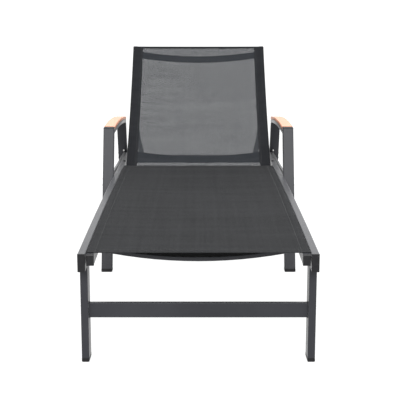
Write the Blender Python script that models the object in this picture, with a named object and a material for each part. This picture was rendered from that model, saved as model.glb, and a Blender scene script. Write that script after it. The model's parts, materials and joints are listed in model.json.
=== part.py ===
"""Reclining sun lounger: aluminium frame, textile slings, teak armrests and a ratchet backrest.

Metres, +Z up.  X runs across the lounger, -Y is the foot end and +Y the head end, and the floor is Z = 0.
Inside this file "run" is the distance from the foot end, so that Y = run - LENGTH / 2.
The backrest stands at about 43 degrees, its prop's rod above the fifth notch of the racks.
"""

import math

import bmesh
import bpy
from mathutils import Matrix, Vector

# ---- driving dimensions -------------------------------------------------------------------------
LENGTH = 2.000           # side rails with their end caps
GAP = 0.0003             # air between two pieces that touch
WALL = 0.0016            # wall of every frame tube

RAIL_OUT = 0.325         # side rail, outer face
RAIL_IN = 0.304          # side rail, inner face
RAIL_DEEP = 0.050
RAIL_FOOT_TOP = 0.3229   # top of the side rail at the foot end
RAIL_RISE = 0.0447       # its slope there
RAIL_ARCH = 0.0184       # and how fast the slope falls, so that the rail is a long shallow arch

SEAT_RAIL_OUT = RAIL_IN - 0.0025
SEAT_RAIL_IN = SEAT_RAIL_OUT - 0.0205
SEAT_RAIL_DEEP = 0.0300
SEAT_RAIL_FOOT = 0.0123
SEAT_SLING_END = 1.3035
BLOCK_DROP = 0.0030      # top of the front plug's block below the top of the side rail
SEAT_RAIL_END = 1.305
SLING_THICK = 0.0015
SLING_DROP = 0.0005      # sling surface below the top of the side rail
SEAT_RAIL_DROP = SLING_DROP + SLING_THICK + GAP

SEAT_BAR_RUN = 0.109     # middle of the front seat crossbar
SEAT_BAR_DEEP = 0.060
SEAT_BAR_TALL = 0.012
SEAT_BAR_BOW = 0.030

CAP_THICK = 0.003        # plate of a tube's end plug
PLUG_LONG = 0.014        # length of the plug inside the tube
FOOT_TALL = 0.012

LEG_RUN = 0.047          # front face of the front legs
LEG_LONG = 0.050
LEG_BAR_LOW = 0.126
LEG_BAR_HIGH = 0.169
LEG_BAR_RUN = LEG_RUN + 0.012
LEG_BAR_THICK = 0.0125

HEAD_BAR_RUN = 1.973     # foot-side face of the crossbar under the head ends of the rails
HEAD_BAR_DEEP = 0.018
HEAD_BAR_TALL = 0.0360

POST_IN = RAIL_OUT + GAP
POST_OUT = POST_IN + 0.041
POST_DEEP = 0.028
FRONT_POST_FOOT = 0.950  # run of the front face at the floor
FRONT_POST_HEAD = 1.123  # and at POST_TOP
REAR_POST_FOOT = 1.868
REAR_POST_HEAD = 1.673
POST_TOP = 0.527
ARM_PEAK_RUN = 1.280
ARM_PEAK = 0.531         # top of the teak at its highest
ARM_ARCH = 0.1355
ARM_END = 1.715
TEAK_THICK = 0.012
ARM_TUBE_DEEP = 0.015
LOW_TUBE_SLOT = 0.006    # open slot between a side rail and the lower tube
LOW_TUBE_WIDE = 0.0095
LOW_TUBE_DEEP = 0.020
LOW_TUBE_DROP = 0.0035   # top of its head end below the top of the side rail
POST_SCREW_HIGH = 0.3480

HINGE_RUN = 1.335
HINGE_HIGH = 0.325
BACK_OUT = 0.297
BACK_IN = 0.277
BACK_DEEP = 0.030
BACK_LONG = 0.705
BACK_SLOPE = math.radians(35.5)   # of the back rail at the hinge
BACK_CURVE = 0.36                 # how fast that slope grows, in radians per metre
BACK_SLING_LOW = -0.006
BACK_BAR_BOW = {"top": 0.0375, "bottom": 0.032}

PROP_OUT = 0.2735
PROP_IN = 0.2535
PROP_DEEP = 0.020
PROP_AT = 0.225          # distance from the hinge to the prop's pivot
PROP_BEARING = math.radians(33.7)
PROP_LONG = 0.400        # prop pivot to rod
ROD_HIGH = 0.294         # rod above the floor at rest
ROD_RADIUS = 0.006
PROP_RATIO = 1.5         # prop's turn on the backrest for each degree of recline
NOTCH_TURNS = (-36, -16, 0, 10, 20)      # degrees of recline at which the rod lies in a notch
TOOTH_TURNS = (-22, -7, 5, 15)           # and at which it passes over a tooth
NOTCH_DEEP = 0.008
TOOTH_HALF = 1.0         # half the width of a tooth's top, in degrees of recline
TOOTH_GAP = 0.0018       # air between a tooth and the rod as it passes over

PIN_RADIUS = 0.004
HINGE_RADIUS = 0.005
RUNNING = 0.00006        # radial clearance of a turning pin
SIDES = ((-1, "left"), (1, "right"))


# ---- materials ----------------------------------------------------------------------------------
def material(name, colour, roughness, metallic=0.0):
    made = bpy.data.materials.new(name)
    made.use_nodes = True
    shader = made.node_tree.nodes["Principled BSDF"]
    shader.inputs["Base Color"].default_value = (*colour, 1)
    shader.inputs["Roughness"].default_value = roughness
    shader.inputs["Metallic"].default_value = metallic
    made.diffuse_color = (*colour, 1)
    return made


def make_materials():
    return {
        "powder_coat": material("powder_coat", (0.060, 0.062, 0.068), 0.48, 0.25),
        "black_plastic": material("black_plastic", (0.018, 0.018, 0.020), 0.55),
        "seat_textile": material("seat_textile", (0.040, 0.041, 0.043), 0.80),
        "back_textile": material("back_textile", (0.050, 0.052, 0.055), 0.80),
        "teak": material("teak", (0.640, 0.370, 0.190), 0.60),
        "stainless": material("stainless", (0.620, 0.620, 0.610), 0.30, 1.0),
    }


# ---- side profiles: each gives a height, or a (run, height) point ----------------------------------
def rail_top(run):
    return RAIL_FOOT_TOP + RAIL_RISE * run - RAIL_ARCH * run * run


def rail_bottom(run):
    return rail_top(run) - RAIL_DEEP


def arm_top(run):
    return ARM_PEAK - ARM_ARCH * (run - ARM_PEAK_RUN) ** 2


def front_post_face(height):
    return FRONT_POST_FOOT + (FRONT_POST_HEAD - FRONT_POST_FOOT) * height / POST_TOP


def rear_post_face(height):
    return REAR_POST_FOOT + (REAR_POST_HEAD - REAR_POST_FOOT) * height / POST_TOP


def back_point(along, off=0.0):
    """A point on the back rail's centre line, moved off it towards the sitter."""
    mean = BACK_SLOPE + BACK_CURVE * along / 2
    slope = BACK_SLOPE + BACK_CURVE * along
    run = HINGE_RUN + along * math.cos(mean) - off * math.sin(slope)
    return run, HINGE_HIGH + along * math.sin(mean) + off * math.cos(slope)


def prop_pivot(turn=0.0):
    bearing = PROP_BEARING + math.radians(turn)
    return HINGE_RUN + PROP_AT * math.cos(bearing), HINGE_HIGH + PROP_AT * math.sin(bearing)


def rod_place(turn=0.0):
    """Where the prop's rod is when the backrest has turned by so many degrees from rest."""
    dip_at_rest = math.asin((prop_pivot()[1] - ROD_HIGH) / PROP_LONG)
    dip = dip_at_rest + (PROP_RATIO - 1) * math.radians(turn)
    run, high = prop_pivot(turn)
    return run + PROP_LONG * math.cos(dip), high - PROP_LONG * math.sin(dip)


def steps(start, end, count):
    return [start + (end - start) * i / count for i in range(count + 1)]


def place(x, run, height):
    return Vector((x, run - LENGTH / 2, height))


# ---- solids ---------------------------------------------------------------------------------------
def mirrored(rings, side):
    return [[Vector((corner.x * side, corner.y, corner.z)) for corner in ring] for ring in rings]


def inset_ring(ring, by):
    """The ring of corners moved inwards by a wall's thickness."""
    inner = []
    for i, corner in enumerate(ring):
        ahead = (ring[(i + 1) % len(ring)] - corner).normalized()
        behind = (ring[i - 1] - corner).normalized()
        inner.append(corner + (ahead + behind) * by)
    return inner


def bridge(bm, first, second):
    for i, corner in enumerate(first):
        after = (i + 1) % len(first)
        bm.faces.new((corner, first[after], second[after], second[i]))


def finish_object(name, bm, surface, edge_radius=0.0, parent=None, smooth=35):
    """Makes the object, with its origin on its parent's axis, and rounds its sharp edges."""
    bmesh.ops.recalc_face_normals(bm, faces=bm.faces)
    mesh = bpy.data.meshes.new(name)
    bm.to_mesh(mesh)
    bm.free()
    mesh.shade_smooth()
    mesh.set_sharp_from_angle(angle=math.radians(smooth))
    mesh.materials.append(surface)
    obj = bpy.data.objects.new(name, mesh)
    bpy.context.scene.collection.objects.link(obj)
    if edge_radius:
        rounding = obj.modifiers.new("rounded_edges", "BEVEL")
        rounding.width = edge_radius
        rounding.segments = 2
        rounding.limit_method = "WEIGHT"
        rounding.use_clamp_overlap = True
    if parent:
        mesh.transform(Matrix.Translation(-parent.matrix_world.translation))
        obj.parent = parent
    return obj


def loft(name, rings, surface, hollow=False, edge_radius=0.0015, parent=None):
    """A bar through rings of corners, or a tube open at both ends if it is hollow."""
    bm = bmesh.new()
    outer = [[bm.verts.new(corner) for corner in ring] for ring in rings]
    for first, second in zip(outer, outer[1:]):
        bridge(bm, first, second)
    weights = bm.edges.layers.float.new("bevel_weight_edge")
    for first, second in zip(outer, outer[1:]):
        for here, there in zip(first, second):
            bm.edges.get((here, there))[weights] = 1.0
    if hollow:
        inner = [[bm.verts.new(corner) for corner in inset_ring(ring, WALL)] for ring in rings]
        for first, second in zip(inner, inner[1:]):
            bridge(bm, first, second)
        bridge(bm, outer[0], inner[0])
        bridge(bm, outer[-1], inner[-1])
    else:
        bm.faces.new(outer[0])
        bm.faces.new(outer[-1])
    return finish_object(name, bm, surface, edge_radius, parent)


def turned(name, profile, centre, surface, parent=None, segments=24):
    """A solid turned about an X axis: profile is (x, radius) from one end to the other."""
    bm = bmesh.new()
    rings = []
    for x, radius in profile:
        spokes = [2 * math.pi * i / segments for i in range(segments)]
        rings.append([
            bm.verts.new(place(x, centre[0] + radius * math.cos(a), centre[1] + radius * math.sin(a)))
            for a in spokes
        ])
    for first, second in zip(rings, rings[1:]):
        bridge(bm, first, second)
    bm.faces.new(rings[0])
    bm.faces.new(rings[-1])
    return finish_object(name, bm, surface, 0.0, parent)


def drill(obj, centre, radius, low_x, high_x, segments=24):
    """Cuts a round hole along X through the walls between low_x and high_x."""
    cutter = turned(f"cutter_{obj.name}_{len(obj.modifiers)}", [(low_x, radius), (high_x, radius)],
                    centre, obj.data.materials[0], obj.parent, segments)
    cutter.hide_render = True
    cutter.display_type = "WIRE"
    hole = obj.modifiers.new(f"hole_{len(obj.modifiers)}", "BOOLEAN")
    hole.operation = "DIFFERENCE"
    hole.solver = "EXACT"
    hole.object = cutter


def profile_ring(x_in, x_out, low, high):
    """Four corners of a tube that runs in the side plane: low and high are (run, height) points."""
    return [place(x_in, *low), place(x_out, *low), place(x_out, *high), place(x_in, *high)]


def end_plug(name, rings, surface, side=1, parent=None, chamfer=0.0012):
    """A plate and the smaller plug behind it.

    rings: outer face, inner face, the tube's section there if it differs, and at the plug's far end.
    """
    face, seat, far = rings[0], rings[1], rings[-1]
    neck = rings[-2]
    inside = WALL + GAP
    solid = [inset_ring(face, chamfer)]
    solid.append([a.lerp(b, 0.4) for a, b in zip(face, seat)])
    solid += [seat, inset_ring(neck, inside), inset_ring(far, inside)]
    return loft(name, mirrored(solid, side), surface, edge_radius=0.0, parent=parent)


def cross_tube(name, corners_at, half, surface, hollow=True, parent=None, count=14):
    """A tube across the lounger. corners_at(x) gives the (run, height) corners of its section."""
    rings = [[place(x, *corner) for corner in corners_at(x)] for x in steps(-half, half, count)]
    return loft(name, rings, surface, hollow, parent=parent)


def bow(x, half, depth):
    return depth * (1 - (x / half) ** 2)


# ---- base -----------------------------------------------------------------------------------------
def add_side_rails(surfaces):
    for side, word in SIDES:
        rings = [
            profile_ring(RAIL_IN, RAIL_OUT, (run, rail_bottom(run)), (run, rail_top(run)))
            for run in steps(CAP_THICK, LENGTH - CAP_THICK, 18)
        ]
        rail = loft(f"side_rail_{word}", mirrored(rings, side), surfaces["powder_coat"], True, 0.002)
        drill(rail, (HINGE_RUN, HINGE_HIGH), HINGE_RADIUS + GAP, side * 0.300, side * 0.330)
        for end, face, inward in (("front", 0.0, 1), ("rear", LENGTH, -1)):
            runs = (face, face + inward * (CAP_THICK - GAP), face + inward * (CAP_THICK + PLUG_LONG))
            plug = [
                profile_ring(RAIL_IN, RAIL_OUT, (run, rail_bottom(run)), (run, rail_top(run)))
                for run in runs
            ]
            end_plug(f"side_rail_cap_{end}_{word}", plug, surfaces["black_plastic"], side)


def seat_rail_ring(run, drop=SEAT_RAIL_DROP):
    top = rail_top(run) - drop
    return profile_ring(SEAT_RAIL_IN, SEAT_RAIL_OUT, (run, top - SEAT_RAIL_DEEP), (run, top))


def add_seat_rails(surfaces):
    """The front plugs are long black blocks, a little lower than the sling that ends behind them."""
    for side, word in SIDES:
        rings = [seat_rail_ring(run) for run in steps(SEAT_RAIL_FOOT, SEAT_RAIL_END, 14)]
        loft(f"seat_rail_{word}", mirrored(rings, side), surfaces["powder_coat"], True)
        neck = SEAT_RAIL_FOOT - GAP
        block = [seat_rail_ring(0.0, BLOCK_DROP), seat_rail_ring(neck, BLOCK_DROP),
                 seat_rail_ring(neck), seat_rail_ring(SEAT_RAIL_FOOT + PLUG_LONG)]
        end_plug(f"seat_rail_cap_front_{word}", block, surfaces["black_plastic"], side)
        plug = [seat_rail_ring(SEAT_RAIL_END + step) for step in (CAP_THICK, GAP, -PLUG_LONG)]
        end_plug(f"seat_rail_cap_rear_{word}", plug, surfaces["black_plastic"], side)


def add_seat_crossbars(surfaces):
    """Flat oval tubes that bow down so that the sling never touches them."""
    half = SEAT_RAIL_IN - GAP
    for word, run in (("front", SEAT_BAR_RUN), ("middle", 0.660), ("rear", 1.266)):
        top = rail_top(run) - SEAT_RAIL_DROP - 0.0016

        def section(x, run=run, top=top):
            high = top - bow(x, half, SEAT_BAR_BOW)
            low = high - SEAT_BAR_TALL
            foot, head = run - SEAT_BAR_DEEP / 2, run + SEAT_BAR_DEEP / 2
            return [(foot, low), (head, low), (head, high), (foot, high)]

        cross_tube(f"seat_crossbar_{word}", section, half, surfaces["powder_coat"])


def add_seat_sling(surfaces):
    half = RAIL_IN - 0.0005
    rings = []
    for run in steps(SEAT_RAIL_FOOT + 0.004, SEAT_SLING_END, 20):
        top = rail_top(run) - SLING_DROP
        rings.append([
            place(-half, run, top - SLING_THICK), place(half, run, top - SLING_THICK),
            place(half, run, top), place(-half, run, top),
        ])
    loft("seat_sling", rings, surfaces["seat_textile"], edge_radius=0.0)


def add_foot(name, x_in, x_out, edges_at, surface, side):
    """A glide that closes a leg: edges_at(height) gives the runs of the leg's front and rear faces."""
    def ring(height):
        front, rear = edges_at(height)
        return [place(x_in, front, height), place(x_out, front, height),
                place(x_out, rear, height), place(x_in, rear, height)]

    rings = [inset_ring(ring(0.0), 0.0025), ring(0.0025), ring(FOOT_TALL - GAP)]
    for high in (FOOT_TALL - GAP, FOOT_TALL + PLUG_LONG):
        rings.append(inset_ring(ring(high), WALL + GAP))
    loft(name, mirrored(rings, side), surface, edge_radius=0.0)


def add_front_legs(surfaces):
    rear = LEG_RUN + LEG_LONG
    for side, word in SIDES:
        foot = [place(RAIL_IN, LEG_RUN, FOOT_TALL), place(RAIL_OUT, LEG_RUN, FOOT_TALL),
                place(RAIL_OUT, rear, FOOT_TALL), place(RAIL_IN, rear, FOOT_TALL)]
        head = [Vector((c.x, c.y, rail_bottom(c.y + LENGTH / 2) - GAP)) for c in foot]
        loft(f"front_leg_{word}", mirrored([foot, head], side), surfaces["powder_coat"], True, 0.002)
        add_foot(f"foot_cap_front_{word}", RAIL_IN, RAIL_OUT, lambda height: (LEG_RUN, rear),
                 surfaces["black_plastic"], side)

    def section(x):
        return [(LEG_BAR_RUN, LEG_BAR_LOW), (LEG_BAR_RUN + LEG_BAR_THICK, LEG_BAR_LOW),
                (LEG_BAR_RUN + LEG_BAR_THICK, LEG_BAR_HIGH), (LEG_BAR_RUN, LEG_BAR_HIGH)]

    cross_tube("front_leg_crossbar", section, RAIL_IN - GAP, surfaces["powder_coat"], count=1)


def add_rear_crossbar(surfaces):
    def section(x):
        high = rail_bottom(HEAD_BAR_RUN + HEAD_BAR_DEEP) - GAP
        foot, head = HEAD_BAR_RUN, HEAD_BAR_RUN + HEAD_BAR_DEEP
        return [(foot, high - HEAD_BAR_TALL), (head, high - HEAD_BAR_TALL), (head, high), (foot, high)]

    cross_tube("head_crossbar", section, RAIL_OUT - 0.001, surfaces["powder_coat"], count=1)


def post_ring(face_at, height_at):
    """Corners of a post's section. height_at(run) gives the height of the cut it follows."""
    corners = []
    for deep in (0.0, POST_DEEP):
        height = height_at
        if callable(height_at):
            height = POST_TOP
            for _ in range(6):
                height = height_at(face_at(height) + deep)
        corners.append((face_at(height) + deep, height))
    front, rear = corners
    return [place(POST_IN, *front), place(POST_OUT, *front), place(POST_OUT, *rear), place(POST_IN, *rear)]


def arm_underside(run):
    return arm_top(run) - TEAK_THICK - GAP - ARM_TUBE_DEEP


def add_arm_frames(surfaces):
    """Each side frame stands outside its rail: two raked posts, a top tube and a lower tube."""
    for side, word in SIDES:
        coat = surfaces["powder_coat"]
        front = [post_ring(front_post_face, FOOT_TALL), post_ring(front_post_face, POST_TOP - CAP_THICK)]
        loft(f"arm_front_post_{word}", mirrored(front, side), coat, True, 0.0025)
        rear = [post_ring(rear_post_face, FOOT_TALL),
                post_ring(rear_post_face, lambda run: arm_underside(run) - GAP)]
        loft(f"arm_rear_post_{word}", mirrored(rear, side), coat, True, 0.0025)
        for place_word, face_at in (("middle", front_post_face), ("rear", rear_post_face)):
            add_foot(f"foot_cap_{place_word}_{word}", POST_IN, POST_OUT,
                     lambda height, face_at=face_at: (face_at(height), face_at(height) + POST_DEEP),
                     surfaces["black_plastic"], side)
        lid = [post_ring(front_post_face, height)
               for height in (POST_TOP, POST_TOP - CAP_THICK + GAP, POST_TOP - CAP_THICK - PLUG_LONG)]
        end_plug(f"arm_post_cap_{word}", lid, surfaces["black_plastic"], side)

        def behind_front_post(height):
            return front_post_face(height) + POST_DEEP + GAP

        top = []
        for part in steps(0, 1, 10):
            high_start = behind_front_post(arm_top(FRONT_POST_HEAD) - TEAK_THICK)
            low_start = behind_front_post(arm_underside(FRONT_POST_HEAD))
            high_run = high_start + (ARM_END - high_start) * part
            low_run = low_start + (ARM_END - low_start) * part
            top.append(profile_ring(POST_IN, POST_OUT, (low_run, arm_underside(low_run)),
                                    (high_run, arm_underside(high_run) + ARM_TUBE_DEEP)))
        loft(f"arm_top_tube_{word}", mirrored(top, side), coat, True, 0.002)

        def ahead_of_rear_post(height):
            return rear_post_face(height) - GAP

        lower = []
        for post_edge, drop in ((behind_front_post, 0.0), (ahead_of_rear_post, LOW_TUBE_DROP)):
            top_here = rail_top(post_edge(RAIL_FOOT_TOP)) - drop
            low_here = top_here - LOW_TUBE_DEEP
            inner = POST_IN + LOW_TUBE_SLOT
            lower.append(profile_ring(inner, inner + LOW_TUBE_WIDE, (post_edge(low_here), low_here),
                                      (post_edge(top_here), top_here)))
        loft(f"arm_lower_tube_{word}", mirrored(lower, side), coat, True, 0.002)
        add_teak(word, side, surfaces["teak"])


def add_teak(word, side, surface):
    """The wooden armrest: a gently arched board whose outer head-end corner is rounded."""
    corner = 0.016
    start = front_post_face(POST_TOP) + POST_DEEP + 0.0008
    runs = steps(start, ARM_END - corner, 12)
    runs += [ARM_END - corner * (1 - math.sin(math.radians(turn))) for turn in (22, 44, 64, 80)]
    rings = []
    for run in runs:
        past = max(0.0, run - (ARM_END - corner)) / corner
        outer = POST_OUT - corner * (1 - math.sqrt(1 - past * past))
        rings.append(profile_ring(POST_IN, outer, (run, arm_top(run) - TEAK_THICK), (run, arm_top(run))))
    loft(f"teak_armrest_{word}", mirrored(rings, side), surface, edge_radius=0.0022)


def add_fasteners(surfaces):
    """The hinge bolts with their bushes, the screws of the rear posts and the plugs of the side rails."""
    centre = (HINGE_RUN, HINGE_HIGH)
    for side, word in SIDES:
        radius = HINGE_RADIUS
        bolt = [(0.2712, 0.0070), (0.2765, 0.0070), (0.2765, radius), (RAIL_OUT + GAP, radius),
                (RAIL_OUT + GAP, 0.0080), (RAIL_OUT + 0.0030, 0.0080), (RAIL_OUT + 0.0042, 0.0060)]
        turned(f"hinge_bolt_{word}", [(side * x, r) for x, r in bolt], centre, surfaces["stainless"])
        bush_low = BACK_OUT + GAP
        bush_high = RAIL_IN - GAP
        bush = turned(f"hinge_bush_{word}", [(side * bush_low, 0.0095), (side * bush_high, 0.0095)],
                      centre, surfaces["black_plastic"])
        drill(bush, centre, radius + GAP, side * (bush_low - 0.002), side * (bush_high + 0.002))

        face = rear_post_face(POST_SCREW_HIGH) - GAP
        add_button(f"rear_post_screw_{word}", Vector((side * 0.3395, face - LENGTH / 2, POST_SCREW_HIGH)),
                   Vector((0, -1, -math.tan(math.atan2(REAR_POST_FOOT - REAR_POST_HEAD, POST_TOP)))),
                   0.0045, 0.0022, surfaces["stainless"])
        plug_run = 1.415
        add_button(f"rail_plug_{word}", place(side * 0.3112, plug_run, rail_top(plug_run) + GAP),
                   Vector((0, -0.004, 1)), 0.0056, 0.0036, surfaces["black_plastic"])


def add_button(name, foot, axis, radius, tall, surface, segments=20):
    """A low domed head standing on a face, its axis pointing away from that face."""
    bm = bmesh.new()
    turn = axis.normalized().to_track_quat("Z", "Y").to_matrix()
    rings = []
    for height, size in ((0.0, 1.0), (0.45, 1.0), (0.80, 0.82), (1.0, 0.45)):
        ring = []
        for i in range(segments):
            angle = 2 * math.pi * i / segments
            local = Vector((size * radius * math.cos(angle), size * radius * math.sin(angle), height * tall))
            ring.append(bm.verts.new(foot + turn @ local))
        rings.append(ring)
    for first, second in zip(rings, rings[1:]):
        bridge(bm, first, second)
    bm.faces.new(rings[0])
    bm.faces.new(rings[-1])
    finish_object(name, bm, surface)


def add_racks(surfaces):
    """Toothed plates inside the side rails, with a flange under the rail. The rod passes just above them."""
    profile = []
    for turn in NOTCH_TURNS:
        run, high = rod_place(turn)
        profile.append((run, high - ROD_RADIUS - NOTCH_DEEP))
    for turn in TOOTH_TURNS:
        for edge in (turn - TOOTH_HALF, turn + TOOTH_HALF):
            run, high = rod_place(edge)
            profile.append((run, high - ROD_RADIUS - TOOTH_GAP))
    profile.sort()
    foot_end = (profile[0][0] - 0.012, profile[0][1] + NOTCH_DEEP - 0.0040)
    profile = [(foot_end[0] - 0.010, foot_end[1]), foot_end, *profile]
    web_in = RAIL_IN - GAP - 0.0062
    web_out = RAIL_IN - GAP
    for side, word in SIDES:
        rings = []
        for run, tooth in profile:
            flange_top = rail_bottom(run) - GAP
            flange_low = flange_top - 0.0260
            rings.append([
                place(web_in, run, flange_low), place(RAIL_OUT - 0.001, run, flange_low),
                place(RAIL_OUT - 0.001, run, flange_top), place(web_out, run, flange_top),
                place(web_out, run, tooth), place(web_in, run, tooth),
            ])
        loft(f"ratchet_rack_{word}", mirrored(rings, side), surfaces["black_plastic"], edge_radius=0.0)


# ---- backrest ---------------------------------------------------------------------------------------
def back_ring(along, x_in=BACK_IN, x_out=BACK_OUT):
    return profile_ring(x_in, x_out, back_point(along, -BACK_DEEP / 2), back_point(along, BACK_DEEP / 2))


def add_back(surfaces, hinge):
    centre = (HINGE_RUN, HINGE_HIGH)
    for side, word in SIDES:
        rings = [back_ring(along) for along in steps(-0.018, BACK_LONG - CAP_THICK, 16)]
        rail = loft(f"back_rail_{word}", mirrored(rings, side), surfaces["powder_coat"], True, parent=hinge)
        drill(rail, centre, HINGE_RADIUS + RUNNING, side * 0.270, side * 0.300)
        drill(rail, prop_pivot(), PIN_RADIUS + GAP, side * 0.270, side * 0.285)
        plug = [back_ring(along) for along in
                (BACK_LONG, BACK_LONG - CAP_THICK + GAP, BACK_LONG - CAP_THICK - PLUG_LONG)]
        end_plug(f"back_rail_cap_{word}", plug, surfaces["black_plastic"], side, hinge)

    half = BACK_IN - GAP
    for word, along, tall in (("top", 0.670, 0.029), ("bottom", 0.0905, 0.030)):
        depth = BACK_BAR_BOW[word]

        def section(x, along=along, tall=tall, depth=depth):
            off = 0.0075 - bow(x, half, depth)
            low, high = along - tall / 2, along + tall / 2
            return [back_point(low, off - 0.0125), back_point(high, off - 0.0125),
                    back_point(high, off), back_point(low, off)]

        cross_tube(f"back_crossbar_{word}", section, half, surfaces["powder_coat"], parent=hinge)

    off = BACK_DEEP / 2 + GAP
    rings = []
    for along in steps(BACK_SLING_LOW, BACK_LONG - 0.001, 16):
        low = back_point(along, off)
        high = back_point(along, off + SLING_THICK)
        rings.append(profile_ring(-BACK_OUT + 0.0003, BACK_OUT - 0.0003, low, high))
    loft("back_sling", rings, surfaces["back_textile"], edge_radius=0.0, parent=hinge)

    for side, word in SIDES:
        pin = [(PROP_IN - 0.0045, 0.0050), (PROP_IN - 0.0035, 0.0068), (PROP_IN - GAP, 0.0068),
               (PROP_IN - GAP, PIN_RADIUS), (PROP_OUT + GAP, PIN_RADIUS), (PROP_OUT + GAP, 0.0080),
               (BACK_IN - GAP, 0.0080), (BACK_IN - GAP, PIN_RADIUS), (0.2840, PIN_RADIUS)]
        turned(f"prop_pivot_pin_{word}", [(side * x, r) for x, r in pin], prop_pivot(),
               surfaces["stainless"], hinge)


# ---- prop -------------------------------------------------------------------------------------------
def add_prop(surfaces, pivot):
    """Two arms joined by a rod, whose ends reach over the racks."""
    start = Vector(prop_pivot())
    end = Vector(rod_place())
    ahead = (end - start).normalized()
    up = Vector((-ahead.y, ahead.x)) * (PROP_DEEP / 2)
    for side, word in SIDES:
        rings = []
        for point in (start - ahead * 0.012, start + ahead * (PROP_LONG + 0.0095)):
            rings.append(profile_ring(PROP_IN, PROP_OUT, point - up, point + up))
        arm = loft(f"prop_arm_{word}", mirrored(rings, side), surfaces["powder_coat"], True, 0.002, pivot)
        drill(arm, prop_pivot(), PIN_RADIUS + RUNNING, side * 0.250, side * 0.276)
        drill(arm, rod_place(), ROD_RADIUS + GAP / 2, side * 0.250, side * 0.276)
    reach = RAIL_IN - 0.0012
    turned("prop_rod", [(-reach, ROD_RADIUS - 0.001), (-reach + 0.001, ROD_RADIUS),
                        (reach - 0.001, ROD_RADIUS), (reach, ROD_RADIUS - 0.001)],
           rod_place(), surfaces["powder_coat"], pivot)


def joint_axis(name, point, parent=None):
    """An empty on a joint's axis, which carries the pieces that turn about it."""
    axis = bpy.data.objects.new(name, None)
    axis.empty_display_size = 0.05
    bpy.context.scene.collection.objects.link(axis)
    axis.location = place(0, *point)
    if parent:
        axis.location -= parent.location
        axis.parent = parent
    bpy.context.view_layer.update()
    return axis


def main():
    for obj in list(bpy.data.objects):
        bpy.data.objects.remove(obj)
    surfaces = make_materials()
    add_side_rails(surfaces)
    add_seat_rails(surfaces)
    add_seat_crossbars(surfaces)
    add_seat_sling(surfaces)
    add_front_legs(surfaces)
    add_rear_crossbar(surfaces)
    add_arm_frames(surfaces)
    add_fasteners(surfaces)
    add_racks(surfaces)
    hinge = joint_axis("backrest_hinge", (HINGE_RUN, HINGE_HIGH))
    add_back(surfaces, hinge)
    pivot = joint_axis("prop_hinge", prop_pivot(), hinge)
    add_prop(surfaces, pivot)


main()
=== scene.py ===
"""Looks of the reclining sun lounger: woven slings, powder-coated tube, teak, plastic and fasteners.

Metres, +Z up. X runs across the lounger, -Y is the foot end, +Y the head end, and the floor is Z = 0.
"""

import json
import math
import random

import bmesh
import bpy
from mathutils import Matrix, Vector


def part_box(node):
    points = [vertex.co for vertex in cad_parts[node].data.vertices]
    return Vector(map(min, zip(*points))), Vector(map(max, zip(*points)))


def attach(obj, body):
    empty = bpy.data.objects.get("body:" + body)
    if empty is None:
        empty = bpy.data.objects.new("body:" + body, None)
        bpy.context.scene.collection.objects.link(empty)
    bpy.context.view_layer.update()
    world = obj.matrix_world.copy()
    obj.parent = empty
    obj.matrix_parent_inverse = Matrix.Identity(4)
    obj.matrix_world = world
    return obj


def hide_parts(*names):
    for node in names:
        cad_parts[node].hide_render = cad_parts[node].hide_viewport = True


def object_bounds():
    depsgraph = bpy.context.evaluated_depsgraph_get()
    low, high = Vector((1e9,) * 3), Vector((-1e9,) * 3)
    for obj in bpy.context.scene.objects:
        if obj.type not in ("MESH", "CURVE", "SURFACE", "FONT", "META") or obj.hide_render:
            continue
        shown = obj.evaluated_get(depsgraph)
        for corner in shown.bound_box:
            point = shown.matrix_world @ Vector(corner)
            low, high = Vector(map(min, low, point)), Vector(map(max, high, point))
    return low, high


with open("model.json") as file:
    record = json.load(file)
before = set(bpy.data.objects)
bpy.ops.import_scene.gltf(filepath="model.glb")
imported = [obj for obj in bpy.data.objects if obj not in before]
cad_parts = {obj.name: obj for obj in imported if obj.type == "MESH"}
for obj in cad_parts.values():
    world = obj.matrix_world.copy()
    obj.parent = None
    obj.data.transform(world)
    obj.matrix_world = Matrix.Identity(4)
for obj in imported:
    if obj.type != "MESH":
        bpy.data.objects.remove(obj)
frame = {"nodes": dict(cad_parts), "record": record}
cad_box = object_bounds()
NODES = frame["nodes"]

# ---- driving sizes -------------------------------------------------------------------------------
SEAT_CLOTH = 0.0010      # thickness of one layer of the dense seat textile
BACK_CLOTH = 0.0005      # and of the open backrest mesh
HEM_FOLD = 0.0008        # extra thickness where a hem is folded double
HEM_STEP = 0.0006        # half the width over which the backrest's cloth thickens into a hem
SEAT_HEM_STEP = 0.001    # and the seat's
SEAT_HEM = 0.024
BACK_TOP_HEM = 0.008
BACK_SIDE_HEM = 0.0235   # hem beside the back rail, the opaque band
BESIDE_RAIL = 0.004      # from a rail's inner face to where the flat span of a sling starts
SEAT_HEM_SEAMS = (1.0, 0.82)         # rows of stitches, as shares of the hem's depth
BACK_HEM_SEAMS = (0.0035, 0.0080)    # rows of stitches, from the side hem's inner edge
SEAT_SAG = 0.0045
SEAT_PULL = 0.00035      # height of the faint ripples that the stretch leaves
BACK_SAG = 0.006
SEAT_ROWS = 96           # faces along each sling
BACK_ROWS = 64
SEAT_PITCH = 0.0013      # from one yarn to the next
BACK_PITCH = 0.0018
OPEN_WEAVE = 0.350       # cover below which the mesh has holes, on its sitter side
OPEN_WEAVE_UNDER = 0.86  # and on its far side, which lets more light through
UNEVEN_WEAVE = 0.030     # how much the open weave's cover varies from one band of yarns to the next
STITCH_LONG = 0.0034
STITCH_PITCH = 0.0046
THREAD = 0.00035         # radius of the sewing thread
KEDER = 0.0010           # radius of the welt cord along the seat sling
WELD = 0.0014            # radius of a weld bead
WELD_RIPPLE = 0.0019     # from one ripple of a weld bead to the next
FRAME_BOLT = (0.0052, 0.0022)        # radius and height of a bolt head
END_BOLT = (0.0045, 0.0020)
CAP_SCREW = (0.0032, 0.0010)
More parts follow.
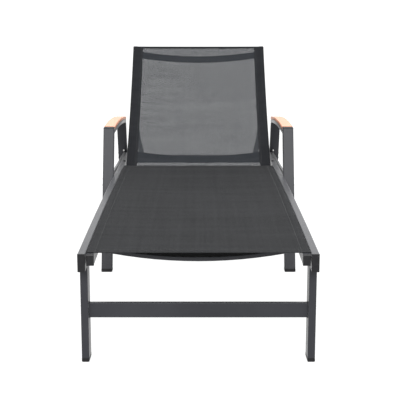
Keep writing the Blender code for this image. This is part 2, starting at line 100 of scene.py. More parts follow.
POST_BOLT_HEIGHTS = (0.312, 0.336)
LEG_BOLT_INSET = 0.011               # from the crossbar's upper and lower faces
END_BOLT_HEIGHTS = (0.023, 0.035)    # above the lowest point of the side rail
CAP_SCREW_HEIGHT = 0.018             # above the lowest point of the plug
COLLAR_RADII = (0.0061, 0.0086)      # of the hole and of the outside
COLLAR_GAPS = (0.0004, 0.0030)       # to the prop's arm and to the rack
SIDES = ((-1, "left"), (1, "right"))

# ---- driving colours and light -------------------------------------------------------------------
SEAT_YARN = ((0.0058, 0.0061, 0.0068), (0.0170, 0.0176, 0.0190))    # darkest and lightest
BACK_YARN = ((0.0122, 0.0138, 0.0162), (0.0230, 0.0254, 0.0292))
BACK_HEM_YARN = ((0.0080, 0.0084, 0.0098), (0.0140, 0.0148, 0.0168))
FLOOR_GLOW = 0.97
FLOOR_HALF = 40          # half the width of the floor
DIM_SIDE = 0.20          # strength of the surroundings at the foot side, and at the head side
BRIGHT_SIDE = 1.72
HORIZON_GLOW = 1.05      # the surroundings are white all round just above the floor
HORIZON_FADE = (0.17, 0.29)          # the upward part of the direction, from the band's edge to its end
SIDE_FADE = (-1.0, 0.15)             # the part towards the head, from the dim side to the bright one
LIGHTS = (               # name, place, target, size and radiance
    ("overhead", (0, 0.6, 3.8), (0, 0.5, 0.2), (4.5, 5.0), 2.2),
    ("over_the_foot_end", (0, -4.4, 2.9), (0, 0.2, 0.4), (3.6, 2.2), 9.5),
)
LENS_MM = 81.4
LENS_SHIFT = (0.0039, -0.05)
CAMERA_AWAY = 2.3448     # in front of the foot end
CAMERA_HIGH = 0.9492
CAMERA_DIP = 10.254      # degrees below level


# ---- node-tree helpers ---------------------------------------------------------------------------
def fill(node, **values):
    """Sets several of a node's inputs."""
    for key, value in values.items():
        node.inputs[key.replace("_", " ")].default_value = value


class Graph:
    """Short names for building one material's nodes."""

    def __init__(self, name):
        self.material = bpy.data.materials.new(name)
        self.material.use_nodes = True
        self.tree = self.material.node_tree
        self.shader = self.tree.nodes["Principled BSDF"]

    def node(self, kind, **values):
        made = self.tree.nodes.new(kind)
        for key, value in values.items():
            setattr(made, key, value)
        return made

    def link(self, source, target):
        self.tree.links.new(source, target)

    def set(self, **values):
        fill(self.shader, **values)

    def feed(self, name, source):
        self.link(source, self.shader.inputs[name])

    def math(self, operation, a, b=None):
        made = self.node("ShaderNodeMath", operation=operation)
        for socket, value in zip(made.inputs, (a, b)):
            if value is None:
                continue
            if hasattr(value, "is_output"):
                self.link(value, socket)
            else:
                socket.default_value = value
        return made.outputs[0]

    def scaled(self, source, low, high, from_low=0.0, from_high=1.0):
        made = self.node("ShaderNodeMapRange")
        self.link(source, made.inputs["Value"])
        fill(made, From_Min=from_low, From_Max=from_high, To_Min=low, To_Max=high)
        return made.outputs["Result"]

    def mapped(self, space="Object", scale=(1, 1, 1)):
        coordinates = self.node("ShaderNodeTexCoord")
        mapping = self.node("ShaderNodeMapping")
        fill(mapping, Scale=scale)
        self.link(coordinates.outputs[space], mapping.inputs["Vector"])
        return mapping.outputs["Vector"]

    def noise(self, vector, scale, detail=3.0, roughness=0.55):
        made = self.node("ShaderNodeTexNoise")
        self.link(vector, made.inputs["Vector"])
        fill(made, Scale=scale, Detail=detail, Roughness=roughness)
        return made.outputs["Fac"]

    def ramp(self, source, stops):
        made = self.node("ShaderNodeValToRGB")
        self.link(source, made.inputs["Fac"])
        elements = made.color_ramp.elements
        while len(elements) < len(stops):
            elements.new(0.5)
        for element, (place, colour) in zip(elements, stops):
            element.position = place
            element.color = (*colour, 1)
        return made.outputs["Color"]

    def bump(self, height, strength, distance):
        made = self.node("ShaderNodeBump")
        fill(made, Strength=strength, Distance=distance)
        self.link(height, made.inputs["Height"])
        return made.outputs["Normal"]


# ---- materials -----------------------------------------------------------------------------------
def powder_coat():
    """Satin graphite powder coat: an orange-peel skin whose gloss varies in broad patches and in specks."""
    g = Graph("graphite_powder_coat")
    here = g.mapped()
    broad = g.noise(here, 9.0, 4.0)
    skin = g.noise(here, 1500.0, 2.0)
    speck = g.noise(here, 420.0, 4.0, 0.7)
    stops = ((0.25, (0.0210, 0.0217, 0.0255)), (0.75, (0.0275, 0.0284, 0.0330)))
    g.feed("Base Color", g.ramp(broad, stops))
    g.feed("Roughness", g.math("ADD", g.scaled(broad, 0.30, 0.40), g.scaled(speck, -0.05, 0.07)))
    g.feed("Normal", g.bump(skin, 0.22, 0.00025))
    g.set(Metallic=0.0, Specular_IOR_Level=0.20, Sheen_Weight=0.12, Sheen_Roughness=0.30)
    return g.material


def black_plastic():
    """Moulded polypropylene with a fine spark-eroded grain."""
    g = Graph("black_moulded_plastic")
    here = g.mapped()
    grain = g.noise(here, 2600.0, 2.0)
    broad = g.noise(here, 60.0, 3.0)
    stops = ((0.3, (0.011, 0.011, 0.012)), (0.8, (0.017, 0.017, 0.018)))
    g.feed("Base Color", g.ramp(broad, stops))
    g.feed("Roughness", g.scaled(broad, 0.46, 0.60))
    g.feed("Normal", g.bump(grain, 0.30, 0.00020))
    g.set(Specular_IOR_Level=0.12)
    return g.material


def yarns(g, pitch):
    """(yarn height, cover) of a plain weave, from UVs in metres."""
    place = g.node("ShaderNodeSeparateXYZ")
    g.link(g.mapped("UV"), place.inputs[0])
    across = g.math("MULTIPLY", place.outputs["X"], 1.0 / pitch)
    along = g.math("MULTIPLY", place.outputs["Y"], 1.0 / pitch)

    def tent(value):
        """1 along the middle of each yarn, 0 halfway to the next."""
        centred = g.math("SUBTRACT", g.math("FRACT", value), 0.5)
        return g.math("SUBTRACT", 1.0, g.math("MULTIPLY", g.math("ABSOLUTE", centred), 2.0))

    warp = tent(across)
    weft = tent(along)
    parity = g.math("PINGPONG", g.math("ADD", g.math("FLOOR", across), g.math("FLOOR", along)), 1.0)
    over = g.math("MULTIPLY", warp, g.math("ADD", g.math("MULTIPLY", parity, 0.5), 0.5))
    under = g.math("MULTIPLY", weft, g.math("SUBTRACT", 1.0, g.math("MULTIPLY", parity, 0.5)))
    return g.math("MAXIMUM", over, under), g.math("MAXIMUM", warp, weft)


def textile(name, dark, light, pitch, opening=0.0):
    """Woven coated yarn. With an opening, the corners between yarns are holes."""
    g = Graph(name)
    height, cover = yarns(g, pitch)
    here = g.mapped()
    slub = g.noise(g.mapped("UV", (40.0, 900.0, 1.0)), 1.0, 2.0)
    streak = g.noise(g.mapped("UV", (700.0, 14.0, 1.0)), 1.0, 2.0)
    broad = g.noise(here, 5.0, 3.0)
    warp_band = g.noise(g.mapped("UV", (75.0, 1.2, 1.0)), 1.0, 2.0)
    weft_band = g.noise(g.mapped("UV", (1.2, 32.0, 1.0)), 1.0, 2.0)
    bands = g.math("ADD", g.math("MULTIPLY", warp_band, 0.4), g.math("MULTIPLY", weft_band, 0.6))
    tone_and_weave_shade = g.math("ADD", g.math("MULTIPLY", slub, 0.15), g.math("MULTIPLY", streak, 0.15))
    tone_and_weave_shade = g.math("ADD", tone_and_weave_shade, g.math("MULTIPLY", bands, 0.55))
    tone_and_weave_shade = g.math("ADD", tone_and_weave_shade, g.math("MULTIPLY", broad, 0.15))
    # painted shade: the yarn colour is darker where a yarn dips under its neighbour and lighter on its crowns
    tone_and_weave_shade = g.math("ADD", tone_and_weave_shade, g.math("MULTIPLY", height, 0.15))
    g.feed("Base Color", g.ramp(tone_and_weave_shade, ((0.42, dark), (0.68, light))))
    g.feed("Roughness", g.scaled(broad, 0.66, 0.80))
    g.feed("Normal", g.bump(height, 0.55, 0.00035))
    g.set(Sheen_Weight=0.02, Sheen_Roughness=0.5, Specular_IOR_Level=0.03)
    if opening:
        uneven = g.math("ADD", cover, g.scaled(bands, -UNEVEN_WEAVE, UNEVEN_WEAVE, 0.35, 0.65))
        g.feed("Alpha", g.scaled(uneven, 0.0, 1.0, opening - 0.03, opening + 0.03))
    return g.material


def thread():
    """Twisted polyester sewing thread."""
    g = Graph("sewing_thread")
    twist = g.node("ShaderNodeTexWave", wave_type="BANDS", bands_direction="DIAGONAL")
    g.link(g.mapped(), twist.inputs["Vector"])
    fill(twist, Scale=900.0)
    stops = ((0.1, (0.010, 0.010, 0.011)), (0.9, (0.024, 0.025, 0.026)))
    g.feed("Base Color", g.ramp(twist.outputs["Fac"], stops))
    g.feed("Normal", g.bump(twist.outputs["Fac"], 0.4, 0.0001))
    g.set(Roughness=0.5)
    return g.material


# Places of the colour sockets in a Mix node, whose names repeat for each kind of value.
MIX_FACTOR, MIX_FIRST, MIX_SECOND, MIX_COLOUR = 0, 6, 7, 2


def teak():
    """Oiled teak: a figure of growth rings drawn out along Y, and fine darker pores."""
    g = Graph("oiled_teak")
    along = g.mapped(scale=(1.0, 0.07, 1.0))
    warp = g.noise(along, 14.0, 3.0)
    rings = g.node("ShaderNodeTexWave", wave_type="BANDS", bands_direction="X", wave_profile="SAW")
    g.link(along, rings.inputs["Vector"])
    fill(rings, Scale=62.0, Distortion=7.0, Detail=3.0, Detail_Scale=1.4)
    figure = g.math("ADD", g.math("MULTIPLY", rings.outputs["Fac"], 0.55), g.math("MULTIPLY", warp, 0.45))
    pores = g.noise(g.mapped(scale=(1.0, 0.035, 1.0)), 1400.0, 2.0)
    pore_mask = g.scaled(pores, 0.0, 1.0, 0.60, 0.70)
    dark, middle, light = (0.410, 0.172, 0.100), (0.535, 0.268, 0.176), (0.620, 0.338, 0.242)
    colour = g.ramp(figure, ((0.15, dark), (0.50, middle), (0.85, light)))
    darker = g.node("ShaderNodeMix", data_type="RGBA", blend_type="MULTIPLY")
    g.link(g.math("MULTIPLY", pore_mask, 0.7), darker.inputs[MIX_FACTOR])
    g.link(colour, darker.inputs[MIX_FIRST])
    darker.inputs[MIX_SECOND].default_value = (0.62, 0.50, 0.42, 1)
    g.feed("Base Color", darker.outputs[MIX_COLOUR])
    g.feed("Roughness", g.scaled(figure, 0.50, 0.62))
    relief = g.math("SUBTRACT", g.math("MULTIPLY", figure, 0.4), pore_mask)
    g.feed("Normal", g.bump(relief, 0.30, 0.00020))
    g.set(Specular_IOR_Level=0.35)
    return g.material


def stainless():
    """Turned stainless steel with fine machining lines."""
    g = Graph("turned_stainless")
    lines = g.noise(g.mapped(scale=(30.0, 1.0, 1.0)), 260.0, 2.0)
    smudge = g.noise(g.mapped(), 70.0, 3.0)
    stops = ((0.2, (0.52, 0.52, 0.51)), (0.8, (0.66, 0.66, 0.65)))
    g.feed("Base Color", g.ramp(smudge, stops))
    g.feed("Roughness", g.math("ADD", g.scaled(lines, 0.18, 0.34), g.scaled(smudge, -0.03, 0.05)))
    g.feed("Normal", g.bump(lines, 0.15, 0.00008))
    g.set(Metallic=1.0)
    return g.material


SURFACES = {
    "powder_coat": powder_coat(),
    "black_plastic": black_plastic(),
    "seat_textile": textile("seat_textile", *SEAT_YARN, SEAT_PITCH),
    "back_textile": textile("back_mesh", *BACK_YARN, BACK_PITCH, OPEN_WEAVE),
    "back_underside": textile("back_mesh_under", *BACK_YARN, BACK_PITCH, OPEN_WEAVE_UNDER),
    "back_hem": textile("back_hem_textile", *BACK_HEM_YARN, BACK_PITCH),
    "thread": thread(),
    "teak": teak(),
    "stainless": stainless(),
}


def dress_cad_nodes():
    """Every CAD node that stays takes the finish of its record slot."""
    slots = {part["node"]: part["material_slot"] for part in frame["record"]["subparts"]}
    for name, obj in NODES.items():
        obj.data.materials.clear()
        obj.data.materials.append(SURFACES[slots[name]])


# ---- mesh helpers --------------------------------------------------------------------------------
def new_piece(name, bm, body, slot, *surfaces, smooth=40):
    bmesh.ops.recalc_face_normals(bm, faces=bm.faces)
    mesh = bpy.data.meshes.new(name)
    bm.to_mesh(mesh)
    bm.free()
    mesh.shade_smooth()
    mesh.set_sharp_from_angle(angle=math.radians(smooth))
    for surface in surfaces:
        mesh.materials.append(SURFACES[surface])
    obj = bpy.data.objects.new(name, mesh)
    bpy.context.scene.collection.objects.link(obj)
    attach(obj, body)
    return obj


def circle(count):
    """(cosine, sine) of points spaced evenly round a circle."""
    angles = [2 * math.pi * i / count for i in range(count)]
    return [(math.cos(angle), math.sin(angle)) for angle in angles]


def skin(bm, rings, endless=False):
    """Covers a row of rings with quads. Its ends are closed, unless it runs round to its start."""
    for first, second in zip(rings, rings[1:] + (rings[:1] if endless else [])):
        for i in range(len(first)):
            j = (i + 1) % len(first)
            bm.faces.new((first[i], first[j], second[j], second[i]))
    if not endless:
        bm.faces.new(rings[0])
        bm.faces.new(rings[-1])


def hit(node, start, direction):
    """(point, normal) where a ray meets a CAD node."""
    found, point, normal, _ = NODES[node].ray_cast(Vector(start), Vector(direction).normalized())
    if not found:
        raise RuntimeError(f"no surface of {node} from {tuple(start)}")
    return point, normal


def side_profile(node, count, over, away):
    """Points of a sling's sitter side in the YZ plane, from foot to head, with their normals.

    over is the direction in which the rays go, and away how far outside the box they start. The first and
    the last ray stay a little inside the sling's ends.
    """
    inset = 0.0015
    low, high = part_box(node)
    first = Vector((0, low.y, low.z))
    last = Vector((0, high.y, high.z))
    ray = Vector(over).normalized()
    points = []
    for i in range(count + 1):
        part = inset + (1 - 2 * inset) * i / count
        points.append(hit(node, first.lerp(last, part) - ray * away, ray)[0])
    normals = []
    for i in range(count + 1):
        tangent = points[min(i + 1, count)] - points[max(i - 1, 0)]
        normals.append(Vector((0, -tangent.z, tangent.y)).normalized())
    return points, normals


def cloth_piece(name, body, slot, columns, profile, lift, thickness, zone, surfaces, under=None):
    """A closed woven sheet. columns are the X places of its grid, each with its height over the profile and
    the way its sitter side faces there, as (X, along the profile's normal).

    lift(x, part) moves the cloth off the profile, thickness(x, part) is how thick it is there and
    zone(x, part) picks the material, which under may swap on the far side. UVs are metres along the cloth.
    Gives the piece, its developed width and its developed length.
    """
    points, normals = profile
    rows = len(points) - 1
    bm = bmesh.new()
    uv = bm.loops.layers.uv.new("metres")
    top, bottom, place = [], [], {}
    girth = [0.0]
    for (x0, h0, _), (x1, h1, _) in zip(columns, columns[1:]):
        girth.append(girth[-1] + math.hypot(x1 - x0, h1 - h0))
    length = [0.0]
    for a, b in zip(points, points[1:]):
        length.append(length[-1] + (b - a).length)
    for row in range(rows + 1):
        part = row / rows
        upper, lower = [], []
        for i, (x, height, face) in enumerate(columns):
            outward = (Vector((face[0], 0, 0)) + normals[row] * face[1]).normalized()
            base = Vector((x, points[row].y, points[row].z)) + normals[row] * (height + lift(x, part))
            a = bm.verts.new(base)
            b = bm.verts.new(base - outward * thickness(x, part))
            place[a] = place[b] = (girth[i], length[row])
            upper.append(a)
            lower.append(b)
        top.append(upper)
        bottom.append(lower)
    last = len(columns) - 1

    def quad(corners, x, part, below=False):
        face = bm.faces.new(corners)
        face.material_index = zone(x, part)
        if below and under:
            face.material_index = under.get(face.material_index, face.material_index)
        for loop in face.loops:
            loop[uv].uv = place[loop.vert]

    for row in range(rows):
        part = (row + 0.5) / rows
        for i in range(last):
            x = (columns[i][0] + columns[i + 1][0]) / 2
            for grid in (top, bottom):
                corners = (grid[row][i], grid[row][i + 1], grid[row + 1][i + 1], grid[row + 1][i])
                quad(corners, x, part, grid is bottom)
        for i in (0, last):
            quad((top[row][i], bottom[row][i], bottom[row + 1][i], top[row + 1][i]), columns[i][0], part)
    for row in (0, rows):
        for i in range(last):
            x = (columns[i][0] + columns[i + 1][0]) / 2
            quad((top[row][i], bottom[row][i], bottom[row][i + 1], top[row][i + 1]), x, row / rows)
    return new_piece(name, bm, body, slot, *surfaces, smooth=50), girth[-1], length[-1]


def sew(bm, path, normals):
    """Adds a row of stitches along a path: each is a short thread that dives into the cloth at its ends."""
    nudge = 1e-4
    distances = [0.0]
    for a, b in zip(path, path[1:]):
        distances.append(distances[-1] + (b - a).length)

    def at(distance):
        for i in range(len(path) - 1):
            if distance <= distances[i + 1]:
                span = distances[i + 1] - distances[i] or 1.0
                part = (distance - distances[i]) / span
                return path[i].lerp(path[i + 1], part), normals[i].lerp(normals[i + 1], part).normalized()
        return path[-1], normals[-1]

    for step in range(int(distances[-1] / STITCH_PITCH)):
        start = (step + 0.5) * STITCH_PITCH - STITCH_LONG / 2
        rings = []
        for part in (0.0, 0.25, 0.5, 0.75, 1.0):
            place = start + STITCH_LONG * part
            arch = math.sin(math.pi * part)
            point, up = at(place)
            ahead = (at(place + nudge)[0] - at(place - nudge)[0]).normalized()
            across = ahead.cross(up)
            centre = point + up * (THREAD * 1.6 * arch - THREAD * 0.7)
            size = THREAD * (0.62 + 0.38 * arch)
            rings.append([bm.verts.new(centre + across * (size * c) + up * (size * s)) for c, s in circle(5)])
        skin(bm, rings)


def seam_along(bm, profile, x, lift, above):
    """Sews one row from the foot end of a sling to its head end."""
    points, normals = profile
    path = []
    for row, (point, normal) in enumerate(zip(points, normals)):
        height = lift(x, row / (len(points) - 1)) + above
        path.append(Vector((x, point.y, point.z)) + normal * height)
    sew(bm, path, normals)


# ---- edges of the slings -------------------------------------------------------------------------
def across_columns(half, rail, inner_step, skirt, crown):
    """Columns across a sling: a skirt (how far out and down), the crown over a rail, then the span."""
    side = [
        (half + skirt[0], -skirt[1], (1.0, 0.0)),
        (half + skirt[0], -skirt[1] * 0.45, (1.0, 0.0)),
        (half + skirt[0] * 0.85, -0.0012, (0.9, 0.4)),
        (half - 0.0012, crown * 0.45, (0.5, 0.9)),
        (half - 0.0040, crown * 0.90, (0.15, 1.0)),
        (half - rail * 0.5, crown, (0.0, 1.0)),
        (half - rail + 0.0030, crown * 0.80, (-0.1, 1.0)),
        (half - rail - 0.0010, crown * 0.25, (-0.1, 1.0)),
        (half - rail - BESIDE_RAIL, 0.0, (0.0, 1.0)),
    ]
    inner = half - rail - BESIDE_RAIL
    middle = [inner * (1 - i / inner_step) for i in range(1, inner_step)]
    span = [(x, 0.0, (0.0, 1.0)) for x in middle] + [(0.0, 0.0, (0.0, 1.0))]
    right = side + span
    left = [(-x, height, (-face[0], face[1])) for x, height, face in right[:-1]]
    return left + right[::-1]


def hem_columns(columns, edge):
    """Adds columns on both sides of a hem's edge, so that the fold shows as a step."""
    extra = []
    for offset in (-0.0009, 0.0, 0.0009):
        for side, _ in SIDES:
            extra.append((side * (edge + offset), 0.0, (0.0, 1.0)))
    return sorted(columns + extra, key=lambda column: column[0])


def step_between(value, low, high):
    """A smooth rise from 0 at low to 1 at high."""
    part = min(1.0, max(0.0, (value - low) / (high - low)))
    return part * part * (3 - 2 * part)


# ---- seat sling ----------------------------------------------------------------------------------
def make_keders(half, points, normals):
    """The welted side edges of the seat sling, in the slot beside each rail."""
    bm = bmesh.new()
    for side, _ in SIDES:
        rings = []
        x = side * (half - KEDER - 0.0002)
        for point, up in zip(points, normals):
            centre = Vector((x, point.y, point.z)) - up * (KEDER + SEAT_CLOTH + 0.0006)
            offsets = [Vector((KEDER * c, 0, 0)) + up * (KEDER * s) for c, s in circle(8)]
            rings.append([bm.verts.new(centre + offset) for offset in offsets])
        skin(bm, rings)
    return new_piece("seat_sling_keders", bm, "base", "seat_textile", "thread", smooth=60)


def make_seat():
    low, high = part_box("seat_sling")
    half = high.x
    rail_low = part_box("seat_rail_right")[0]
    rail = half - rail_low.x
    profile = side_profile("seat_sling", SEAT_ROWS, (0, 0, -1), 0.05)
    length = high.y - low.y
    inner = rail_low.x - BESIDE_RAIL
    random.seed(4)
    spans = ((-1, 1), (0.06, 0.16), (0.3, 1.0))      # of a pull's place, width and height
    ripples = [[random.uniform(*span) for span in spans] for _ in range(14)]

    def lift(x, part):
        span = max(0.0, 1 - (abs(x) / inner) ** 2)
        ends = step_between(min(part, 1 - part), 0.0, 0.16)
        sag = -SEAT_SAG * span * ends
        pull = 0.0
        run = part * length
        for centre, wide, tall in ripples:
            near = math.exp(-((run - (centre * 0.5 + 0.5) * length) / wide) ** 2)
            pull += SEAT_PULL * tall * near * math.sin((abs(x) / inner) * 9 + centre * 9)
        return sag + pull * span

    def thickness(x, part):
        from_end = min(part, 1 - part) * length
        hem = 1 - step_between(from_end, SEAT_HEM - SEAT_HEM_STEP, SEAT_HEM + SEAT_HEM_STEP)
        return SEAT_CLOTH + HEM_FOLD * 0.4 * hem if abs(x) < inner else SEAT_CLOTH

    columns = across_columns(half - 0.0002, rail, 22, (0.0, 0.0016), 0.0005)
    cloth, girth, long = cloth_piece("seat_sling_cloth", "base", "seat_textile", columns, profile, lift,
                                     thickness, lambda x, part: 0, ("seat_textile",))
    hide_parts("seat_sling")

    bm = bmesh.new()
    points, normals = profile
    for side, _ in SIDES:
        seam_along(bm, profile, side * (half - rail - 0.0015), lift, 0.0002)
    for depth in SEAT_HEM_SEAMS:
        share = SEAT_HEM * depth / length
        for part in (share, 1 - share):
            index = int(part * SEAT_ROWS)
            blend = part * SEAT_ROWS - index
            point = points[index].lerp(points[index + 1], blend)
            normal = normals[index].lerp(normals[index + 1], blend)
            path = []
            for i in range(-20, 21):
                x = inner * i / 20
                path.append(Vector((x, point.y, point.z)) + normal * (lift(x, part) + 0.0001))
            sew(bm, path, [normal] * len(path))
    seams = new_piece("seat_sling_stitching", bm, "base", "seat_textile", "thread")
    keders = make_keders(half, *profile)


# ---- backrest sling ------------------------------------------------------------------------------
def make_back():
    low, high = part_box("back_sling")
    half = high.x
    rail_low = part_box("back_rail_right")[0]
    rail = half - rail_low.x
    chord = Vector((0, high.y - low.y, high.z - low.z)).normalized()
    facing = Vector((0, chord.z, -chord.y))
    profile = side_profile("back_sling", BACK_ROWS, facing, 0.15)
    points, _ = profile
    length = sum((b - a).length for a, b in zip(points, points[1:]))
    inner = rail_low.x - BESIDE_RAIL
    hem_edge = rail_low.x - BACK_SIDE_HEM
    hem_line = length - BACK_TOP_HEM

    def lift(x, part):
        span = max(0.0, 1 - (abs(x) / inner) ** 2)
        return -BACK_SAG * span * math.sin(math.pi * min(1, max(0, part))) ** 0.6 - 0.0010 * span

    def top_hem(part):
        return step_between(part * length, hem_line - HEM_STEP, hem_line + HEM_STEP)

    def thickness(x, part):
        beside = step_between(abs(x), hem_edge - HEM_STEP, hem_edge + HEM_STEP) * (abs(x) < inner)
        return BACK_CLOTH + HEM_FOLD * max(beside, top_hem(part))

    def zone(x, part):
        """1 on a hem and 0 on the open mesh, their places among the surfaces below."""
        return int(abs(x) > hem_edge or top_hem(part) > 0.5)

    columns = hem_columns(across_columns(half + 0.0006, rail, 18, (0.0005, 0.016), 0.0016), hem_edge)
    surfaces = ("back_textile", "back_hem", "back_underside")
    cloth, girth, long = cloth_piece("back_sling_cloth", "backrest", "back_textile", columns, profile, lift,
                                     thickness, zone, surfaces, under={0: 2})
    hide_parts("back_sling")
    bm = bmesh.new()
    for side, _ in SIDES:
        for outward in BACK_HEM_SEAMS:
            seam_along(bm, profile, side * (hem_edge + outward), lift, 0.0001)
    seams = new_piece("back_sling_stitching", bm, "backrest", "back_textile", "thread")


# ---- fasteners -----------------------------------------------------------------------------------
def button_bolt(bm, foot, axis, radius, tall, segments=24):
    """A domed bolt head with a hexagon socket, standing on foot and pointing along axis."""
    turn = Vector(axis).normalized().to_track_quat("Z", "Y").to_matrix()

    def place(x, y, z):
        return bm.verts.new(Vector(foot) + turn @ Vector((x, y, z)))

    def ring(height, size):
        return [place(size * c, size * s, height) for c, s in circle(segments)]

    rings = [ring(0.0, radius)]
    for angle in (12, 34, 56, 72):
        a = math.radians(angle)
        rings.append(ring(tall * (0.25 + 0.75 * math.sin(a)), radius * math.cos(a * 0.62)))
    corner = radius * 0.46
    for height in (tall * 0.98, tall * 0.35):
        hexagon = []
        for i in range(segments):
            a = 2 * math.pi * i / segments
            reach = corner * math.cos(math.pi / 6) / math.cos((a % (math.pi / 3)) - math.pi / 6)
            hexagon.append(place(reach * math.cos(a), reach * math.sin(a), height))
        rings.append(hexagon)
    skin(bm, rings)


def make_bolts():
    """Bolt heads where the arm frames meet the side rails and the legs meet their crossbar."""
    bm = bmesh.new()
    rail_low, rail_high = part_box("side_rail_right")

    def outer_bolt(node, side, y, height, size):
        start = (side * (rail_high.x + 0.2), y, height)
        point, normal = hit(node, start, (-side, 0, 0))
        button_bolt(bm, point, normal, *size)

    for side, word in SIDES:
        for post in ("arm_front_post", "arm_rear_post"):
            low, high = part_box(f"{post}_{word}")
            for height in POST_BOLT_HEIGHTS:
                part = (height - low.z) / (high.z - low.z)
                leans_back = post == "arm_front_post"
                y = low.lerp(high, part if leans_back else 1 - part).y
                outer_bolt(f"{post}_{word}", side, y, height, FRAME_BOLT)
        leg_low, leg_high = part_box(f"front_leg_{word}")
        bar_low, bar_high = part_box("front_leg_crossbar")
        for height in (bar_low.z + LEG_BOLT_INSET, bar_high.z - LEG_BOLT_INSET):
            outer_bolt(f"front_leg_{word}", side, (bar_low.y + bar_high.y) / 2, height, FRAME_BOLT)
        for height in END_BOLT_HEIGHTS:
            y = (leg_low.y + leg_high.y) / 2
            outer_bolt(f"side_rail_{word}", side, y, rail_low.z + height, END_BOLT)
    new_piece("frame_bolts", bm, "base", "stainless", "stainless", smooth=30)


def end_outline(node, side):
    """The section of a bar at one end: its outer points in order round it, and its centre."""
    points = [v.co for v in NODES[node].data.vertices]
    reach = max(side * p.x for p in points)
    ring = [p for p in points if side * p.x > reach - 0.0002]      # within 0.2 mm of the end
    centre = sum(ring, Vector()) / len(ring)
    far = max((p - centre).length for p in ring)
    ring = [p for p in ring if (p - centre).length > far * 0.35]
    by_angle = {}
    for p in ring:
        angle = round(math.atan2(p.z - centre.z, p.y - centre.y), 2)
        if angle not in by_angle or (p - centre).length > (by_angle[angle] - centre).length:
            by_angle[angle] = p
    return [by_angle[angle] for angle in sorted(by_angle)], centre


def weld_bead(bm, loop, centre, side):
    """A rippled bead round the end of a bar, in the corner it makes with the rail."""
    closed = loop + [loop[0]]
    total = sum((b - a).length for a, b in zip(closed, closed[1:]))
    count = int(total / (WELD_RIPPLE / 3))
    walked, index, path = 0.0, 0, []
    for step in range(count):
        target = total * step / count
        while walked + (closed[index + 1] - closed[index]).length < target:
            walked += (closed[index + 1] - closed[index]).length
            index += 1
        span = (closed[index + 1] - closed[index]).length
        path.append(closed[index].lerp(closed[index + 1], (target - walked) / span))
    rings = []
    for step, point in enumerate(path):
        out = (point - centre).normalized()
        size = WELD * (1 + 0.10 * math.sin(2 * math.pi * step / 3))
        section = [(size * c, -side * (0.0004 + size * s * 0.9)) for c, s in circle(6)]
        rings.append([bm.verts.new(point + out * away + Vector((x, 0, 0))) for away, x in section])
    skin(bm, rings, endless=True)


def make_welds():
    """Weld beads where the crossbars of the base and of the backrest meet their rails."""
    bars = {
        "base": ("seat_crossbar_front", "seat_crossbar_middle", "seat_crossbar_rear", "front_leg_crossbar"),
        "backrest": ("back_crossbar_top", "back_crossbar_bottom"),
    }
    for body, nodes in bars.items():
        bm = bmesh.new()
        for node in nodes:
            for side, _ in SIDES:
                weld_bead(bm, *end_outline(node, side), side)
        new_piece(f"{body}_weld_beads", bm, body, "powder_coat", "powder_coat", smooth=60)


def sleeve(bm, centre, x_from, x_to, inner, outer):
    """A short ring round an axis along X, with chamfered ends."""
    low, high = sorted((x_from, x_to))
    soft = min(0.0008, (high - low) * 0.3)
    section = [(low, inner), (low, outer - soft), (low + soft, outer), (high - soft, outer),
               (high, outer - soft), (high, inner)]
    rings = []
    for c, s in circle(28):
        rings.append([bm.verts.new((x, centre.y + r * c, centre.z + r * s)) for x, r in section])
    skin(bm, rings, endless=True)


def make_rod_sleeves():
    """Plastic collars that keep the prop's rod centred between its arms and the racks."""
    low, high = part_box("prop_rod")
    centre = (low + high) / 2
    from_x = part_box("prop_arm_right")[1].x + COLLAR_GAPS[0]
    to_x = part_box("ratchet_rack_right")[0].x - COLLAR_GAPS[1]
    bm = bmesh.new()
    for side, _ in SIDES:
        sleeve(bm, centre, side * from_x, side * to_x, *COLLAR_RADII)
    new_piece("prop_rod_collars", bm, "prop", "black_plastic", "black_plastic", smooth=35)


def make_cap_screws():
    """A small recessed screw low on each foot-end plug of the side rails."""
    bm = bmesh.new()
    for _, word in SIDES:
        low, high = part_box(f"side_rail_cap_front_{word}")
        start = ((low.x + high.x) / 2, low.y - 0.1, low.z + CAP_SCREW_HEIGHT)
        point, _ = hit(f"side_rail_cap_front_{word}", start, (0, 1, 0))
        button_bolt(bm, point, (0, -1, 0), *CAP_SCREW, segments=18)
    new_piece("cap_screws", bm, "base", "black_plastic", "black_plastic", smooth=30)


# ---- stage ---------------------------------------------------------------------------------------
def stage_material():
    """A pale floor under its own faint glow, as a light table has."""
    g = Graph("studio_floor")
    stops = ((0.0, (0.09, 0.09, 0.09)), (1.0, (0.11, 0.11, 0.11)))
    g.feed("Base Color", g.ramp(g.noise(g.mapped(), 3.0), stops))
    g.set(Roughness=0.9, Specular_IOR_Level=0.1, Emission_Color=(1, 1, 1, 1), Emission_Strength=FLOOR_GLOW)
    return g.material


def make_stage():
    bm = bmesh.new()
    bmesh.ops.create_grid(bm, x_segments=2, y_segments=2, size=FLOOR_HALF)
    mesh = bpy.data.meshes.new("floor")
    bm.to_mesh(mesh)
    bm.free()
    mesh.materials.append(stage_material())
    floor = bpy.data.objects.new("floor", mesh)
    bpy.context.scene.collection.objects.link(floor)
    floor.location.z = -0.0005      # just under the glides


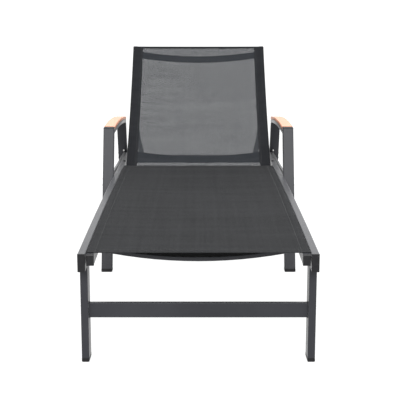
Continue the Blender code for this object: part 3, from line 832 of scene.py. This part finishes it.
def area_light(name, place, target, size, radiance):
    """A soft box that looks equally bright whatever its size."""
    data = bpy.data.lights.new(name, "AREA")
    data.shape = "RECTANGLE"
    data.size, data.size_y = size
    data.energy = radiance * math.pi * size[0] * size[1]
    lamp = bpy.data.objects.new(name, data)
    bpy.context.scene.collection.objects.link(lamp)
    lamp.location = place
    lamp.rotation_euler = (Vector(target) - Vector(place)).to_track_quat("-Z", "Y").to_euler()


def make_world():
    """White surroundings, dimmer high on the foot side, so that surfaces which face it aren't washed out."""
    world = bpy.data.worlds.new("studio")
    world.use_nodes = True
    tree = world.node_tree
    direction = tree.nodes.new("ShaderNodeTexCoord")
    split = tree.nodes.new("ShaderNodeSeparateXYZ")
    tree.links.new(direction.outputs["Generated"], split.inputs[0])
    brighter = tree.nodes.new("ShaderNodeMath")
    brighter.operation = "MAXIMUM"
    spans = (("Y", *SIDE_FADE, DIM_SIDE, BRIGHT_SIDE), ("Z", *HORIZON_FADE, HORIZON_GLOW, 0.0))
    for socket, (axis, *span) in zip(brighter.inputs, spans):
        fade = tree.nodes.new("ShaderNodeMapRange")
        fade.interpolation_type = "SMOOTHSTEP"
        tree.links.new(split.outputs[axis], fade.inputs["Value"])
        fill(fade, From_Min=span[0], From_Max=span[1], To_Min=span[2], To_Max=span[3])
        tree.links.new(fade.outputs["Result"], socket)
    tree.links.new(brighter.outputs[0], tree.nodes["Background"].inputs["Strength"])
    tree.nodes["Background"].inputs["Color"].default_value = (1, 1, 1, 1)
    bpy.context.scene.world = world


def make_lights():
    make_world()
    for light in LIGHTS:
        area_light(*light)
    bpy.context.scene.view_settings.view_transform = "Standard"


def make_camera():
    """Long lens, just above the armrests, looking along the lounger from its foot end."""
    data = bpy.data.cameras.new("camera")
    data.sensor_width = 36.0
    data.lens = LENS_MM
    data.shift_x, data.shift_y = LENS_SHIFT
    camera = bpy.data.objects.new("camera", data)
    bpy.context.scene.collection.objects.link(camera)
    camera.location = (0.0, cad_box[0].y - CAMERA_AWAY, CAMERA_HIGH)
    camera.rotation_euler = (math.radians(90 - CAMERA_DIP), 0, 0)
    bpy.context.scene.camera = camera


make_camera()
dress_cad_nodes()
make_seat()
make_back()
make_bolts()
make_cap_screws()
make_welds()
make_rod_sleeves()
make_stage()
make_lights()
